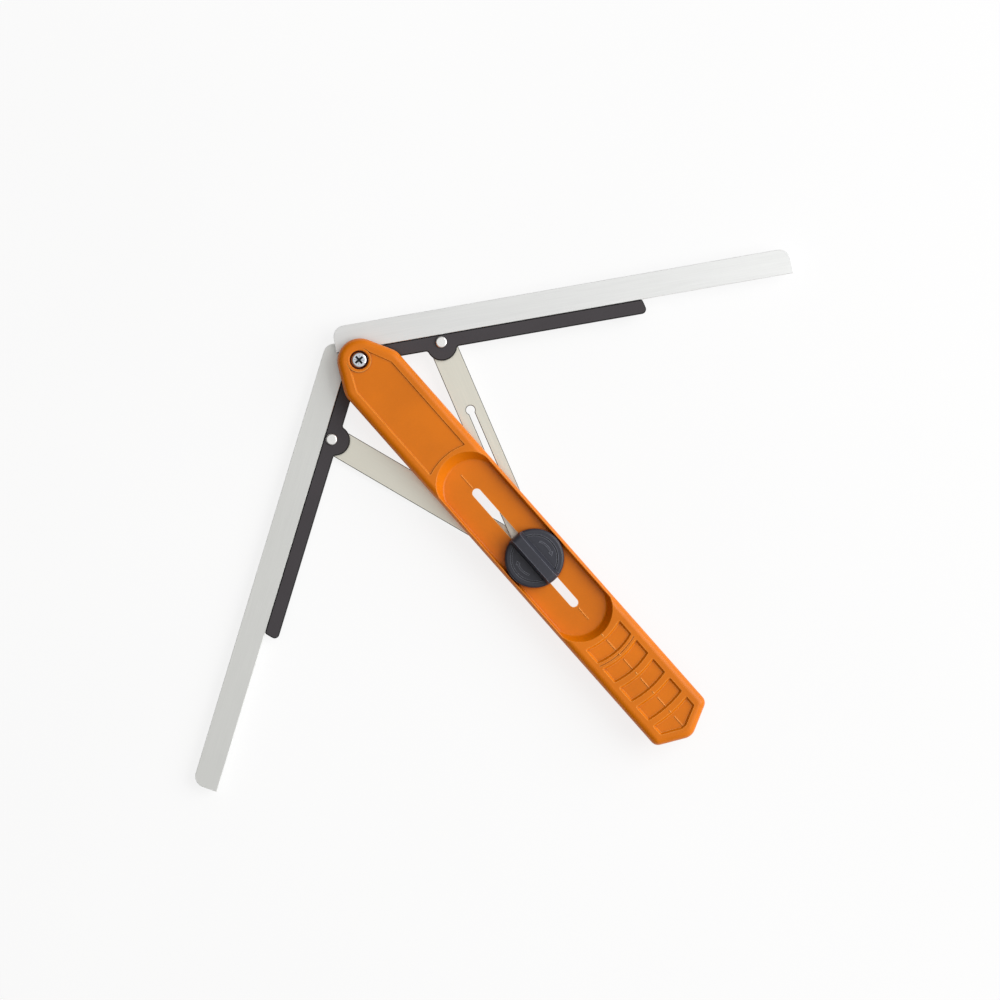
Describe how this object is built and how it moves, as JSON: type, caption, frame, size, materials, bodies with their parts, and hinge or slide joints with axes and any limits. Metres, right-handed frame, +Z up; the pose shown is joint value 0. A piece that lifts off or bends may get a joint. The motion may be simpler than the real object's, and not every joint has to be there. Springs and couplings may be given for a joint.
{
  "type": "sliding bevel",
  "caption": "Angle-bisecting sliding bevel: two straight-edge legs on one pivot, linked by arms to a knob that slides and clamps in the handle's slot.",
  "frame": {"origin": "on the pivot axis, at the plane the tool lies on (bottom of the pivot nut)", "axes": "+X along the handle from the pivot to its tip, +Z up out of the handle's face with the knob, +Y towards the upper leg"},
  "size_m": [0.3164, 0.4666, 0.0308],
  "materials": {
    "handle_plastic": "fine moulded texture",
    "knob_plastic": "moulded",
    "bar_aluminium": "satin anodised",
    "rail_plastic": "moulded",
    "arm_steel": "plated sheet",
    "rivet_steel": "plated",
    "screw_chrome": "bright",
    "hardware_steel": "zinc plated",
    "insert_brass": "turned",
    "washer_nylon": "moulded"
  },
  "bodies": {
    "handle_body": {"handle": "handle_plastic", "pivot_screw": "screw_chrome", "pivot_sleeve": "hardware_steel", "pivot_nut": "hardware_steel", "pivot_washer_top": "washer_nylon", "pivot_washer_middle": "washer_nylon", "pivot_washer_bottom": "hardware_steel"},
    "upper_leg": {"leg_bar_upper": "bar_aluminium", "hinge_rail_upper": "rail_plastic", "rail_screws_upper": "hardware_steel", "rivet_upper": "rivet_steel"},
    "lower_leg": {"leg_bar_lower": "bar_aluminium", "hinge_rail_lower": "rail_plastic", "rail_screws_lower": "hardware_steel", "rivet_lower": "rivet_steel"},
    "upper_arm": {"link_arm_upper": "arm_steel"},
    "lower_arm": {"link_arm_lower": "arm_steel"},
    "clamp": {"clamp_bolt": "hardware_steel", "spacer_low": "hardware_steel", "spacer_high": "hardware_steel", "knob_washer": "hardware_steel"},
    "clamp_knob": {"knob": "knob_plastic", "knob_insert": "insert_brass"}
  },
  "joints": [
    {"name": "upper_leg_hinge", "type": "hinge", "parent": "handle_body", "child": "upper_leg", "pos_m": [0, 0, 0.0098], "axis": [0, 0, 1], "range_deg": [-28.4, 31.6]},
    {"name": "lower_leg_hinge", "type": "hinge", "parent": "handle_body", "child": "lower_leg", "pos_m": [0, 0, 0.0051], "axis": [0, 0, 1], "range_deg": [-31.6, 28.4]},
    {"name": "upper_arm_hinge", "type": "hinge", "parent": "upper_leg", "child": "upper_arm", "pos_m": [0.0238, 0.04313, 0.00745], "axis": [0, 0, 1], "range_deg": [-36.9, 33.2]},
    {"name": "lower_arm_hinge", "type": "hinge", "parent": "lower_leg", "child": "lower_arm", "pos_m": [0.0238, -0.04313, 0.00275], "axis": [0, 0, 1], "range_deg": [-33.2, 36.9]},
    {"name": "clamp_slide", "type": "slide", "parent": "handle_body", "child": "clamp", "axis": [1, 0, 0], "range_m": [-0.0271, 0.0244]},
    {"name": "knob_turn", "type": "hinge", "parent": "clamp", "child": "clamp_knob", "pos_m": [0.15509, 0, 0.0172], "axis": [0, 0, 1], "range_deg": [0, 360]}
  ],
  "couplings": [
    {"joint": "lower_leg_hinge", "follows": "upper_leg_hinge", "ratio": -1},
    {"joint": "upper_arm_hinge", "follows": "upper_leg_hinge", "ratio": -1.165},
    {"joint": "lower_arm_hinge", "follows": "upper_leg_hinge", "ratio": 1.165},
    {"joint": "clamp_slide", "follows": "upper_leg_hinge", "m_per_rad": -0.049017}
  ]
}
